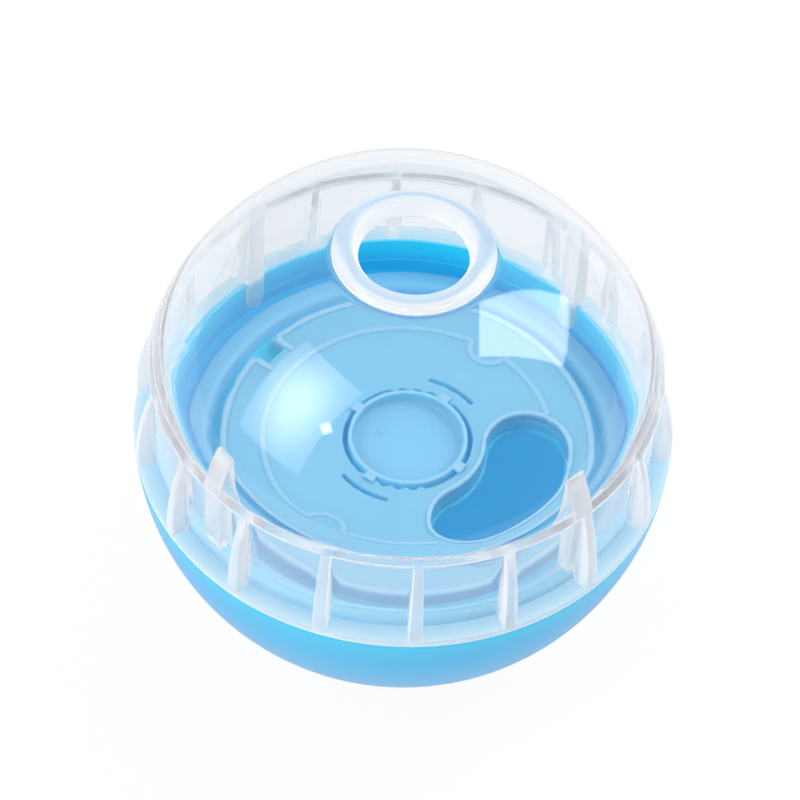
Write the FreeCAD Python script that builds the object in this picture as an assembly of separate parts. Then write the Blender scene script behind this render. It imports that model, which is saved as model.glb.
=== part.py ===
import FreeCAD, Part
import math
import os
from FreeCAD import Vector

# Treat ball for pets: a clear dome screws onto a coloured bowl, over a divider plate with a turning dial.
# Millimetres. +Z is the ball's axis and the photograph's camera stands on the -Y side. Heights below are
# measured from the centre of the ball; the finished pieces are raised so that z = 0 is the rest flat.

# Whole ball
ball_radius = 55.0
seam_height = -3.2            # plane where the dome's flange meets the bowl
seam_gap = 0.15
rest_flat_radius = 9.0        # small flat under the bowl, on which the ball stands

# Bowl
bowl_wall = 1.4
neck_gap = 0.9                # between the neck and the dome's skirt
neck_wall = 1.2
neck_rise = 4.2               # neck above the seam plane
shelf_thickness = 1.6         # shelf that carries the flange
ledge_thickness = 1.3         # ledge inside the neck, under the plate

# Bayonet thread between neck and dome
thread_starts = 4
thread_first_angle = 20.0     # where the first ramp begins, just before its lug
ramp_span = 50.0
ramp_height = 0.6             # radial
ramp_thickness = 0.9
ramp_rise = 0.8               # over its whole span
lug_span = 9.0
lug_thickness = 0.9
lug_lead = 5.0                # from the ramp's low end to the middle of the lug
thread_clearance = 0.2

# Dome
dome_wall = 1.3
skirt_top_height = 18.8       # where the sphere turns into the straight grip band
skirt_depth = 3.95            # the grip band's foot lies this far inside the ball's radius
skirt_wall = 1.25
flange_thickness = 1.8
rib_count = 18
rib_first_angle = 15.4
rib_top_width = 1.9
rib_foot_width = 2.7

# Legs inside the dome that reach down past the neck and keep the plate on its ledge
leg_count = 4
leg_first_angle = 45.0
leg_width = 4.4
leg_tongue = 0.9              # thickness of the thin lower end
leg_clearance = 0.3           # to the neck's bore
leg_rise_over_neck = 0.5      # below this the leg is only a thin tongue
leg_foot_gap = 0.5            # to the plate

# Opening in the pole of the dome, with a rounded ring round it
opening_radius = 10.8
ring_width = 5.2              # from the opening to the ring's outer edge
ring_sink = 1.92              # the ring's outer edge lies this far below the sphere
ring_crown = 1.5              # the ring's top above its foot
lip_depth = 3.3               # from the ring's top to the lower edge of its inner lip
lip_slant = 1.0               # the lip leans outwards by this much on its way up
shoulder_radius = 38.0        # outside this the dome is a true sphere, inside it bends a little more

# Divider plate
plate_offset = 1.2            # the plate lies loose, a little to +X of the ball's axis
plate_top_height = -6.6
plate_wall = 1.5
plate_play = 0.5              # left to the neck's bore where the plate comes nearest
groove_depth = 2.8
groove_width = 3.2
groove_floor_width = 1.2
plate_flange_width = 4.0
ledge_play = 1.0              # ledge to the groove's underside
plate_flange_drop = 0.3       # flange below the plateau
plate_flange_wall = 1.3
plate_seat_gap = 0.15         # flange to ledge
bead_width = 1.6
rim_bead_rise = 0.5
inner_bead_rise = 0.4
inner_bead_margin = 8.8       # from the plateau's edge to the bead's middle
detour_radius = 3.25          # round plain spots that the inner bead bends around
detour_angles = (58.0, 238.0)
notch_angle = 145.5
notch_width = 5.5
notch_depth = 3.9
notch_bead_length = 5.6

# Kidney-shaped opening
kidney_hub_margin = 2.85      # from the hub hole to its near side
kidney_rim_margin = 5.55      # from its far side to the plateau's edge
kidney_start_angle = -55.0
kidney_end_angle = -1.0
kidney_lip_rise = 0.6
kidney_lip_width = 1.1
chute_wall = 1.2
chute_depth = 4.3             # below the plateau

# Hub hole of the plate, with click teeth and two springy slots
hub_hole_radius = 13.4
tooth_rise = 0.6
tooth_span = 6.5
click_step = 13.5             # from one notch between the teeth to the next
click_count = 3
flex_slot_distance = 3.1      # from the hole's edge to the slot's middle
flex_slot_width = 1.0
flex_slot_spans = ((40.0, 76.0), (221.0, 257.0))

# Dial under the plate, whose cup stands up through the hub hole
dial_thickness = 1.5
dial_edge_play = 1.1          # narrower than the hollow under the plateau
dial_gap = 0.2                # to the chute above it
dial_opening_margin = 0.4     # its opening is this much narrower than the plate's
cup_play = 0.4                # to the click teeth
cup_wall = 1.0
cup_rise = 0.7                # rim above the plateau
cup_depth = 2.6
cup_floor_thickness = 1.4
snap_lug_count = 4
snap_lug_first_angle = 57.0
snap_lug_width = 2.6
snap_lug_grip = 0.6           # over the edge of the hub hole
snap_lug_gap = 0.15           # to the plateau below it
mark_size = 1.3
mark_rise = 0.15
mark_places = ((7.7, -5.5, "up"), (-5.5, 2.8, "down"), (5.5, 6.0, "round"))

# Edge rounding
edge_round = 0.35

# Worked out from the sizes above
skirt_outer_foot_radius = ball_radius - skirt_depth
skirt_inner_foot_radius = skirt_outer_foot_radius - skirt_wall
neck_outer_radius = skirt_inner_foot_radius - neck_gap
neck_inner_radius = neck_outer_radius - neck_wall
neck_top = seam_height + neck_rise
flange_bottom = seam_height + seam_gap
flange_top = flange_bottom + flange_thickness
dome_inner_radius = ball_radius - dome_wall
bowl_inner_radius = ball_radius - bowl_wall
plate_flange_top = plate_top_height - plate_flange_drop
plate_flange_bottom = plate_flange_top - plate_flange_wall
ledge_top = plate_flange_bottom - plate_seat_gap
plate_radius = neck_inner_radius - plate_offset - plate_play
plateau_radius = plate_radius - plate_flange_width - groove_width
inner_bead_radius = plateau_radius - inner_bead_margin
kidney_inner_radius = hub_hole_radius + kidney_hub_margin
kidney_outer_radius = plateau_radius - kidney_rim_margin
kidney_radius = (kidney_inner_radius + kidney_outer_radius) / 2
kidney_half_width = (kidney_outer_radius - kidney_inner_radius) / 2
ledge_inner_radius = plateau_radius + groove_width + plate_offset + ledge_play
leg_inner_radius = neck_inner_radius - leg_clearance - leg_tongue
flex_slot_radius = hub_hole_radius + flex_slot_distance
cup_outer_radius = hub_hole_radius - tooth_rise - cup_play
snap_lug_radius = hub_hole_radius + snap_lug_grip
dial_radius = plateau_radius - plate_wall - dial_edge_play
plate_underside = plate_top_height - plate_wall
chute_bottom = plate_top_height - chute_depth
dial_top = chute_bottom - dial_gap
dial_bottom = dial_top - dial_thickness
cup_top = plate_top_height + cup_rise
cup_floor_top = cup_top - cup_depth
ring_outer_radius = opening_radius + ring_width
ring_foot_height = math.sqrt(ball_radius ** 2 - ring_outer_radius ** 2) - ring_sink
centre_height = math.sqrt(ball_radius ** 2 - rest_flat_radius ** 2)
plate_centre = Vector(plate_offset, 0, 0)
axis_z = Vector(0, 0, 1)
origin = Vector(0, 0, 0)


def circle_height(radius, reach):
    """Height on a circle about the origin at the given distance from its axis."""
    return math.sqrt(radius ** 2 - reach ** 2)


def on_circle(radius, height):
    """Point (r, z) on a circle about the origin at the given height."""
    return (math.sqrt(radius ** 2 - height ** 2), height)


def arc_middle(radius, start, end):
    """Middle point of the shorter arc between two points of a circle about the origin."""
    first = math.atan2(start[1], start[0])
    last = math.atan2(end[1], end[0])
    angle = (first + last) / 2
    return (radius * math.cos(angle), radius * math.sin(angle))


def turned(profile):
    """Solid of revolution about Z. A profile point (r, z) is met by a line, ("arc", middle, end) by an arc."""
    edges = []
    first = Vector(profile[0][0], 0, profile[0][1])
    here = first
    for step in profile[1:]:
        if step[0] == "arc":
            middle = Vector(step[1][0], 0, step[1][1])
            there = Vector(step[2][0], 0, step[2][1])
            edges.append(Part.Arc(here, middle, there).toShape())
        else:
            there = Vector(step[0], 0, step[1])
            edges.append(Part.makeLine(here, there))
        here = there
    edges.append(Part.makeLine(here, first))
    face = Part.Face(Part.Wire(edges))
    return face.revolve(origin, axis_z, 360)


def rod(radius, bottom, top, centre=origin):
    return Part.makeCylinder(radius, top - bottom, Vector(centre.x, centre.y, bottom))


def ring(inner, outer, bottom, top, centre=origin):
    return rod(outer, bottom, top, centre).cut(rod(inner, bottom, top, centre))


def sector(inner, outer, bottom, top, start, end):
    """Piece of a ring between two angles, in degrees."""
    corners = [(inner, bottom), (outer, bottom), (outer, top), (inner, top), (inner, bottom)]
    face = Part.Face(Part.makePolygon([Vector(reach, 0, height) for reach, height in corners]))
    piece = face.revolve(origin, axis_z, end - start)
    piece.rotate(origin, axis_z, start)
    return piece


def spoke(inner, outer, width, bottom, top, angle):
    """Upright block that runs outwards at an angle, in degrees."""
    block = Part.makeBox(outer - inner, width, top - bottom, Vector(inner, -width / 2, bottom))
    block.rotate(origin, axis_z, angle)
    return block


def polar(radius, angle, height=0.0):
    turn = math.radians(angle)
    return Vector(radius * math.cos(turn), radius * math.sin(turn), height)


def bent_slot(radius, half_width, start, end, bottom, top):
    """Solid slot along an arc round the origin, with round ends."""
    half = (start + end) / 2
    outer = Part.Arc(polar(radius + half_width, start), polar(radius + half_width, half),
                     polar(radius + half_width, end))
    inner = Part.Arc(polar(radius - half_width, end), polar(radius - half_width, half),
                     polar(radius - half_width, start))
    end_cap = Part.Arc(polar(radius + half_width, end),
                       polar(radius, end) + polar(half_width, end + 90),
                       polar(radius - half_width, end))
    start_cap = Part.Arc(polar(radius - half_width, start),
                         polar(radius, start) + polar(half_width, start - 90),
                         polar(radius + half_width, start))
    wire = Part.Wire([outer.toShape(), end_cap.toShape(), inner.toShape(), start_cap.toShape()])
    slot = Part.Face(wire).extrude(Vector(0, 0, top - bottom))
    slot.translate(Vector(0, 0, bottom))
    return slot


def kidney(margin, bottom, top):
    return bent_slot(kidney_radius, kidney_half_width + margin, kidney_start_angle, kidney_end_angle,
                     bottom, top)


def at_plate(shape):
    """Moves a piece made round the origin to the plate's own axis."""
    moved = shape.copy()
    moved.translate(plate_centre)
    return moved


def make_bowl():
    """Lower shell with its shelf, which reaches in to the neck."""
    flat_height = -circle_height(ball_radius, rest_flat_radius)
    inner_flat = flat_height + bowl_wall
    inner_flat_radius = math.sqrt(bowl_inner_radius ** 2 - inner_flat ** 2)
    shelf_outer = on_circle(ball_radius, seam_height)
    shelf_inner = on_circle(bowl_inner_radius, seam_height - shelf_thickness)
    outer_start = (rest_flat_radius, flat_height)
    inner_end = (inner_flat_radius, inner_flat)
    return turned([
        (0, flat_height),
        outer_start,
        ("arc", arc_middle(ball_radius, outer_start, shelf_outer), shelf_outer),
        (neck_outer_radius, seam_height),
        (neck_outer_radius, seam_height - shelf_thickness),
        shelf_inner,
        ("arc", arc_middle(bowl_inner_radius, shelf_inner, inner_end), inner_end),
        (0, inner_flat),
    ])


def make_neck():
    """Ring in the bowl's mouth: the neck with its thread ramps, and the ledge under the plate."""
    lip = neck_wall / 3
    neck = turned([
        (neck_outer_radius, neck_top - lip),
        (neck_outer_radius - lip, neck_top),
        (neck_inner_radius + lip, neck_top),
        (neck_inner_radius, neck_top - lip),
        (neck_inner_radius, ledge_top),
        (ledge_inner_radius, ledge_top),
        (ledge_inner_radius, ledge_top - ledge_thickness),
        (neck_outer_radius, ledge_top - ledge_thickness),
    ])
    ramps = [make_ramp(thread_first_angle + 360.0 / thread_starts * k) for k in range(thread_starts)]
    return neck.fuse(ramps).removeSplitter()


def lug_top_height():
    """Top of the dome's lugs, which pass under the low ends of the ramps."""
    return seam_height + thread_clearance + lug_thickness + seam_gap


def make_ramp(start):
    """One thread ramp on the neck, which climbs from its start to its end."""
    reach = neck_outer_radius + ramp_height
    low_bottom = lug_top_height() + thread_clearance
    tall = ramp_rise + ramp_thickness
    stock = sector(neck_outer_radius - neck_wall / 2, reach, low_bottom, low_bottom + tall, start,
                   start + ramp_span)
    middle_angle = start + ramp_span / 2
    chord = 2 * reach * math.sin(math.radians(ramp_span / 2))
    slope = math.degrees(math.atan2(ramp_rise, chord))
    middle_height = low_bottom + ramp_rise / 2
    slab = Part.makeBox(reach, 2 * chord, ramp_thickness, Vector(reach / 2, -chord, middle_height))
    slab.rotate(Vector(0, 0, middle_height), Vector(1, 0, 0), slope)
    slab.rotate(origin, axis_z, middle_angle)
    return stock.common(slab)


def make_rib(angle):
    """Gusset of the grip band: nothing at its top, the full depth of the band at its foot."""
    inside = skirt_inner_foot_radius + skirt_wall / 2
    foot = rib_foot_width / 2
    top = rib_top_width / 2
    corners = [
        Vector(inside, -foot, flange_bottom),
        Vector(inside, foot, flange_bottom),
        Vector(inside, top, skirt_top_height),
        Vector(inside, -top, skirt_top_height),
    ]
    face = Part.Face(Part.makePolygon(corners + corners[:1]))
    rib = face.extrude(Vector(ball_radius - inside + 1, 0, 0))
    rib.rotate(origin, axis_z, angle)
    return rib


def make_leg(angle):
    """Upright leg: a fin down to the neck's rim, and below that a thin tongue with a round end."""
    foot = plate_flange_top + leg_foot_gap
    fin_bottom = neck_top + leg_rise_over_neck
    tongue_outer = neck_inner_radius - leg_clearance
    fin_top = circle_height(dome_inner_radius, leg_inner_radius) + dome_wall / 2
    fin = spoke(leg_inner_radius, ball_radius, leg_width, fin_bottom, fin_top, 0)
    round_end = foot + leg_width / 2
    tongue = spoke(leg_inner_radius, tongue_outer, leg_width, round_end, fin_bottom, 0)
    tip = Part.makeCylinder(leg_width / 2, tongue_outer - leg_inner_radius,
                            Vector(leg_inner_radius, 0, round_end), Vector(1, 0, 0))
    leg = fin.fuse([tongue, tip])
    leg.rotate(origin, axis_z, angle)
    return leg


def ring_profile():
    """The opening's lip and the rounded crown of its ring, from inside the dome up and over to the dome."""
    top = ring_foot_height + ring_crown
    bottom = top - lip_depth
    outer = ring_outer_radius
    lip_top = opening_radius + lip_slant
    return [
        (opening_radius + ring_width * 0.4, bottom),
        (opening_radius + edge_round, bottom),
        (opening_radius, bottom + edge_round),
        (opening_radius + lip_slant * 0.2, top - lip_depth / 2),
        (lip_top, top - edge_round),
        (lip_top + edge_round * 0.7, top - ring_crown * 0.08),
        ("arc", (lip_top + ring_width * 0.3, top), (outer - ring_width * 0.1, top - ring_crown * 0.5)),
        ("arc", (outer - ring_width * 0.03, top - ring_crown * 0.72), (outer, ring_foot_height)),
    ]


def crown_arc():
    """Centre and radius, in a half section, of the arc from the shoulder, where it leaves the sphere, to the
    ring's foot."""
    way = (shoulder_radius / ball_radius, circle_height(ball_radius, shoulder_radius) / ball_radius)
    foot = (ring_outer_radius, ring_foot_height)
    along = foot[0] * way[0] + foot[1] * way[1]
    reach = (ball_radius ** 2 - foot[0] ** 2 - foot[1] ** 2) / (2 * (ball_radius - along))
    return (way[0] * reach, way[1] * reach), ball_radius - reach


def on_crown(inset, reach):
    """Point (r, z) on the crown's arc, or on the arc the given depth below it."""
    centre, radius = crown_arc()
    return (reach, centre[1] + circle_height(radius - inset, reach - centre[0]))


def make_dome():
    skirt_top_outer = on_circle(ball_radius, skirt_top_height)
    skirt_top_inner = on_circle(dome_inner_radius, skirt_top_height)
    shoulder_outer = (shoulder_radius, circle_height(ball_radius, shoulder_radius))
    inward = dome_inner_radius / ball_radius
    shoulder_inner = (shoulder_outer[0] * inward, shoulder_outer[1] * inward)
    across = (shoulder_radius + ring_outer_radius) / 2
    flange_edge_top = on_circle(ball_radius, flange_top)
    flange_edge_bottom = on_circle(ball_radius, flange_bottom)
    skirt_outer_foot = (skirt_outer_foot_radius, flange_top)
    profile = ring_profile() + [
        ("arc", on_crown(0, across), shoulder_outer),
        ("arc", arc_middle(ball_radius, shoulder_outer, skirt_top_outer), skirt_top_outer),
        skirt_outer_foot,
        flange_edge_top,
        ("arc", arc_middle(ball_radius, flange_edge_top, flange_edge_bottom), flange_edge_bottom),
        (skirt_inner_foot_radius, flange_bottom),
        skirt_top_inner,
        ("arc", arc_middle(dome_inner_radius, skirt_top_inner, shoulder_inner), shoulder_inner),
        ("arc", on_crown(dome_wall, across), on_crown(dome_wall, ring_outer_radius)),
    ]
    shell = turned(profile)
    ball = Part.makeSphere(ball_radius)
    band = rod(ball_radius + 1, flange_bottom, skirt_top_height)
    ribs = [make_rib(rib_first_angle + 360.0 / rib_count * k) for k in range(rib_count)]
    ribs = [rib.common(ball).common(band) for rib in ribs]
    hollow = turned([
        (0, dial_bottom),
        (skirt_inner_foot_radius + skirt_wall / 2, dial_bottom),
        (skirt_inner_foot_radius + skirt_wall / 2, flange_bottom),
        (skirt_top_inner[0] + dome_wall / 2, skirt_top_height),
        (0, skirt_top_height),
    ])
    middle_radius = ball_radius - dome_wall / 2
    inner_ball = Part.makeSphere(middle_radius)
    legs = [make_leg(leg_first_angle + 360.0 / leg_count * k) for k in range(leg_count)]
    above = rod(ball_radius, skirt_top_height, ball_radius)
    inside = inner_ball.common(above).fuse(hollow)
    legs = [leg.common(inside) for leg in legs]
    lug_top = lug_top_height()
    lug_inner = neck_outer_radius + (skirt_inner_foot_radius - neck_outer_radius) / 3
    lugs = []
    for k in range(thread_starts):
        middle = thread_first_angle + lug_lead + 360.0 / thread_starts * k
        lugs.append(sector(lug_inner, skirt_inner_foot_radius + skirt_wall / 2, lug_top - lug_thickness,
                           lug_top, middle - lug_span / 2, middle + lug_span / 2))
    return shell.fuse(ribs + legs + lugs).removeSplitter()


def plate_profile():
    """Half section of the plate, about its own axis: plateau, down-turned wall, groove and flange."""
    floor = plate_top_height - groove_depth
    inside = plateau_radius - plate_wall
    outside = plateau_radius + groove_width
    under = floor - plate_flange_wall
    floor_start = plateau_radius + 0.25
    floor_end = floor_start + groove_floor_width
    dip = 0.2
    return [
        (0, plate_underside),
        (0, plate_top_height),
        (plateau_radius, plate_top_height),
        (floor_start, floor + dip),
        ("arc", ((floor_start + floor_end) / 2, floor), (floor_end, floor + dip)),
        (outside, plate_flange_top),
        (plate_radius - edge_round, plate_flange_top),
        (plate_radius, plate_flange_top - edge_round),
        (plate_radius, plate_flange_bottom),
        (outside + plate_flange_wall / 3, plate_flange_bottom),
        (floor_end + plate_flange_wall / 3, under),
        (inside, under),
        (inside, plate_underside),
    ]


def make_inner_bead():
    """Low bead round the plateau that bends inwards round two plain spots and stops at the kidney."""
    half = bead_width / 2
    bottom = plate_top_height - plate_wall / 2
    top = plate_top_height + inner_bead_rise
    bead = ring(inner_bead_radius - half, inner_bead_radius + half, bottom, top)
    for angle in detour_angles:
        spot = polar(inner_bead_radius, angle)
        bead = bead.cut(rod(detour_radius + bead_width, bottom, top, spot))
        loop = ring(detour_radius, detour_radius + bead_width, bottom, top, spot)
        bead = bead.fuse(loop.common(rod(inner_bead_radius + half, bottom, top)))
    return bead


def make_notch_parts():
    """Walls round the notch in the plateau's edge, the beads beside it, and the space cut out of it."""
    inner = plateau_radius - notch_depth
    floor = plate_top_height - groove_depth
    walls = spoke(inner - plate_wall, plateau_radius, notch_width + 2 * plate_wall, floor - plate_flange_wall,
                  plate_top_height, notch_angle)
    beads = spoke(inner - notch_bead_length + notch_depth, plateau_radius, notch_width + 2 * bead_width,
                  plate_top_height - plate_wall / 2, plate_top_height + rim_bead_rise, notch_angle)
    plain = spoke(0, inner - bead_width, notch_width, plate_top_height, plate_top_height + 2 * rim_bead_rise,
                  notch_angle)
    space = spoke(inner, plateau_radius + groove_floor_width, notch_width, floor,
                  plate_top_height + 2 * rim_bead_rise, notch_angle)
    return walls, beads.cut(plain), space


def make_plate():
    plate = turned(plate_profile())
    round_edge = rod(plateau_radius, plate_underside, plate_top_height + 2)
    rim = ring(plateau_radius - bead_width, plateau_radius, plate_top_height - plate_wall / 2,
               plate_top_height + rim_bead_rise)
    walls, notch_beads, space = make_notch_parts()
    chute = kidney(chute_wall, chute_bottom, plate_top_height)
    lip = kidney(kidney_lip_width, plate_top_height - plate_wall / 2, plate_top_height + kidney_lip_rise)
    beads = make_inner_bead().cut(kidney(0, plate_underside, 0))
    plate = plate.fuse([rim, walls.common(rod(plateau_radius, -ball_radius, 0)),
                        notch_beads.common(round_edge), chute, lip, beads])
    cuts = [space, kidney(0, chute_bottom - 1, plate_top_height + kidney_lip_rise + 1)]
    cuts.append(rod(hub_hole_radius, chute_bottom, 0))
    for start, end in flex_slot_spans:
        cuts.append(bent_slot(flex_slot_radius, flex_slot_width / 2, start, end, plate_underside - 1, 0))
    plate = plate.cut(cuts)
    teeth = []
    for side in (0.0, 180.0):
        for k in range(click_count + 2):
            middle = snap_lug_first_angle + side + click_step * (k - 0.5)
            teeth.append(sector(hub_hole_radius - tooth_rise, hub_hole_radius + plate_wall / 2,
                                plate_underside, plate_top_height, middle - tooth_span / 2,
                                middle + tooth_span / 2))
    return at_plate(plate.fuse(teeth).removeSplitter())


def make_mark(place):
    """Small raised mark on the cup's floor: a triangle up or down, or a spot."""
    x, y, kind = place
    bottom = cup_floor_top - cup_floor_thickness / 2
    top = cup_floor_top + mark_rise
    if kind == "round":
        return rod(mark_size * 0.8, bottom, top, Vector(x, y, 0))
    point = 1 if kind == "up" else -1
    corners = [
        Vector(x - mark_size, y - point * mark_size * 0.7, bottom),
        Vector(x + mark_size, y - point * mark_size * 0.7, bottom),
        Vector(x, y + point * mark_size, bottom),
    ]
    face = Part.Face(Part.makePolygon(corners + corners[:1]))
    return face.extrude(Vector(0, 0, top - bottom))


def make_dial():
    disc = rod(dial_radius, dial_bottom, dial_top).cut(kidney(-dial_opening_margin, dial_bottom - 1, dial_top + 1))
    inner = cup_outer_radius - cup_wall
    cup_floor_bottom = cup_floor_top - cup_floor_thickness
    corner = cup_wall
    cup = turned([
        (0, cup_floor_bottom),
        (0, cup_floor_top),
        (inner - corner, cup_floor_top),
        ("arc", (inner - corner * 0.293, cup_floor_top + corner * 0.293), (inner, cup_floor_top + corner)),
        (inner, cup_top - edge_round),
        (inner + edge_round, cup_top),
        (cup_outer_radius - edge_round, cup_top),
        (cup_outer_radius, cup_top - edge_round),
        (cup_outer_radius, dial_bottom),
        (inner, dial_bottom),
        (inner, cup_floor_bottom),
    ])
    lugs = []
    for k in range(snap_lug_count):
        angle = snap_lug_first_angle + 360.0 / snap_lug_count * k
        lugs.append(spoke(cup_outer_radius - cup_wall / 2, snap_lug_radius, snap_lug_width,
                          plate_top_height + snap_lug_gap, cup_top, angle))
    marks = [make_mark(place) for place in mark_places]
    disc = disc.cut(rod(inner, dial_bottom - 1, dial_top + 1))
    return at_plate(disc.fuse([cup] + lugs + marks).removeSplitter())


def save(name, shape):
    solids = shape.Solids
    if len(solids) != 1 or not shape.isValid():
        print("check", name, "solids", len(solids), "valid", shape.isValid())
    solids[0].translate(Vector(0, 0, centre_height))
    solids[0].exportStep("parts/" + name + ".step")
    print(name, "volume", round(shape.Volume, 1), "solids", len(solids))


os.makedirs("parts", exist_ok=True)
save("bowl", make_bowl())
save("bowl_neck", make_neck())
save("divider_plate", make_plate())
save("flow_dial", make_dial())
save("clear_dome", make_dome())
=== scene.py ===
import bmesh
import bpy
import math
from mathutils import Matrix, Vector


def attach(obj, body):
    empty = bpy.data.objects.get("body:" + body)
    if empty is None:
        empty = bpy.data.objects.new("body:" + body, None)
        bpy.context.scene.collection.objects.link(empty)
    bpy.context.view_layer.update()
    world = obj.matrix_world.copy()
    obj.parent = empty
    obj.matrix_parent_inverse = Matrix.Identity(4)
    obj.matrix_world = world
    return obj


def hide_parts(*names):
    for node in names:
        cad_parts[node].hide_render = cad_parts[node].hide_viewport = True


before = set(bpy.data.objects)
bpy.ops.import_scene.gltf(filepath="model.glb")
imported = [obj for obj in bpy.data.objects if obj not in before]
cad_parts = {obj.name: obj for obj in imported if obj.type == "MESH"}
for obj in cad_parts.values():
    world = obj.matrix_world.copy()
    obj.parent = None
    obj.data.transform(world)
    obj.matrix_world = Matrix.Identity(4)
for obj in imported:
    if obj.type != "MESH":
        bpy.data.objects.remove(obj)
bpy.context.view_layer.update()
print("frame loaded:", ", ".join(sorted(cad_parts)))

# The pieces' lengths are millimetres, with heights counted from the middle of the ball. Camera, materials, lamps and
# floor are in metres above the rest flat.
ball = {"radius": 55.0, "restFlat": 9.0, "seam": -3.2, "plateShift": 1.2}
ballCentre = math.sqrt(ball["radius"] ** 2 - ball["restFlat"] ** 2)
mm = 0.001  # a millimetre in Blender's metres


# camera, fitted to the photograph
view = {
    "elevation": 51.13, "distance": 0.66, "roll": 3.76,
    "lens": 145.3, "sensor": 36, "shiftX": -0.00415, "shiftY": 0.022, "nearest": 0.01, "farthest": 20,
}


def makeCamera():
    tilt = math.radians(view["elevation"])
    roll = math.radians(view["roll"])
    back = Vector((0, -math.cos(tilt), math.sin(tilt)))
    up = Vector((0, math.sin(tilt), math.cos(tilt)))
    side = Vector((1, 0, 0))
    right = side * math.cos(roll) + up * math.sin(roll)
    top = up * math.cos(roll) - side * math.sin(roll)
    data = bpy.data.cameras.new("photoCamera")
    data.lens = view["lens"]
    data.sensor_width = view["sensor"]
    data.shift_x = view["shiftX"]
    data.shift_y = view["shiftY"]
    data.clip_start = view["nearest"]
    data.clip_end = view["farthest"]
    camera = bpy.data.objects.new("photoCamera", data)
    bpy.context.scene.collection.objects.link(camera)
    turn = Matrix((right, top, back)).transposed().to_4x4()
    camera.matrix_world = Matrix.Translation(Vector((0, 0, ballCentre * mm)) + back * view["distance"]) @ turn
    bpy.context.scene.camera = camera


makeCamera()
print("camera placed")


# mesh helpers, all in millimetres
def onCircle(radius, known):
    # on a circle about the ball's middle, a point's height from its reach or its reach from its height
    return math.sqrt(radius ** 2 - known ** 2)


def spherePoints(radius, startReach, endReach, up, steps):
    # points (r, z) along a circle about the ball's middle, both ends included; up is 1 above it and -1 below
    first = math.atan2(onCircle(radius, startReach) * up, startReach)
    last = math.atan2(onCircle(radius, endReach) * up, endReach)
    angles = [first + (last - first) * k / steps for k in range(steps + 1)]
    return [(radius * math.cos(a), radius * math.sin(a)) for a in angles]


def threePointArc(a, b, c, steps):
    # points on the circle through a, b and c, both ends included
    ax, ay, bx, by, cx, cy = a[0], a[1], b[0], b[1], c[0], c[1]
    d = 2 * (ax * (by - cy) + bx * (cy - ay) + cx * (ay - by))
    ux = ((ax * ax + ay * ay) * (by - cy) + (bx * bx + by * by) * (cy - ay) + (cx * cx + cy * cy) * (ay - by)) / d
    uy = ((ax * ax + ay * ay) * (cx - bx) + (bx * bx + by * by) * (ax - cx) + (cx * cx + cy * cy) * (bx - ax)) / d
    radius = math.hypot(ax - ux, ay - uy)
    start = math.atan2(ay - uy, ax - ux)
    middle = math.atan2(by - uy, bx - ux)
    end = math.atan2(cy - uy, cx - ux)
    turn = (end - start) % math.tau
    if (middle - start) % math.tau > turn:
        turn -= math.tau
    return [(ux + radius * math.cos(start + turn * k / steps), uy + radius * math.sin(start + turn * k / steps))
            for k in range(steps + 1)]


def roundCorners(points, steps=4, mostOfSide=0.48):
    # closed outline: a point (x, y, radius) becomes an arc, a point (x, y) stays
    out = []
    count = len(points)
    for k, point in enumerate(points):
        if len(point) == 2 or point[2] <= 0:
            out.append((point[0], point[1]))
            continue
        here = Vector(point[:2])
        before = Vector(points[k - 1][:2]) - here
        after = Vector(points[(k + 1) % count][:2]) - here
        angle = before.angle(after)
        reach = min(point[2] / math.tan(angle / 2), before.length * mostOfSide, after.length * mostOfSide)
        radius = reach * math.tan(angle / 2)
        start = here + before.normalized() * reach
        end = here + after.normalized() * reach
        middle = here + (before.normalized() + after.normalized()).normalized() * (radius / math.sin(angle / 2))
        first = start - middle
        last = end - middle
        sweep = first.angle_signed(last)
        for j in range(steps + 1):
            turned = first.copy()
            turned.rotate(Matrix.Rotation(-sweep * j / steps, 2))
            out.append((middle.x + turned.x, middle.y + turned.y))
    return out


def finishMesh(name, bm, material, body, crease=35.0, centre=(0.0, 0.0), weld=0.002, shortest=0.001):
    # millimetres about the ball's middle become metres above the rest flat
    bmesh.ops.remove_doubles(bm, verts=bm.verts, dist=weld)
    bmesh.ops.dissolve_degenerate(bm, edges=bm.edges, dist=shortest)
    bmesh.ops.recalc_face_normals(bm, faces=bm.faces)
    for vert in bm.verts:
        vert.co = Vector((vert.co.x + centre[0], vert.co.y + centre[1], vert.co.z + ballCentre)) * mm
    mesh = bpy.data.meshes.new(name)
    bm.to_mesh(mesh)
    bm.free()
    mesh.polygons.foreach_set("use_smooth", [True] * len(mesh.polygons))
    mesh.set_sharp_from_angle(angle=math.radians(crease))
    mesh.materials.append(material)
    piece = bpy.data.objects.new(name, mesh)
    bpy.context.scene.collection.objects.link(piece)
    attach(piece, body)
    print(name, len(mesh.polygons), "faces")
    return piece


def addLathe(bm, outline, steps=256, nearAxis=1e-6):
    # closed outline of (r, z) turned about the axis
    rings = []
    for r, z in outline:
        if r < nearAxis:
            rings.append([bm.verts.new((0, 0, z))])
        else:
            rings.append([bm.verts.new((r * math.cos(math.tau * k / steps), r * math.sin(math.tau * k / steps), z))
                          for k in range(steps)])
    for k, ring in enumerate(rings):
        other = rings[(k + 1) % len(rings)]
        if len(ring) == 1 and len(other) == 1:
            continue
        for j in range(steps):
            n = (j + 1) % steps
            if len(ring) == 1:
                bm.faces.new((ring[0], other[j], other[n]))
            elif len(other) == 1:
                bm.faces.new((ring[j], other[0], ring[n]))
            else:
                bm.faces.new((ring[j], other[j], other[n], ring[n]))


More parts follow.
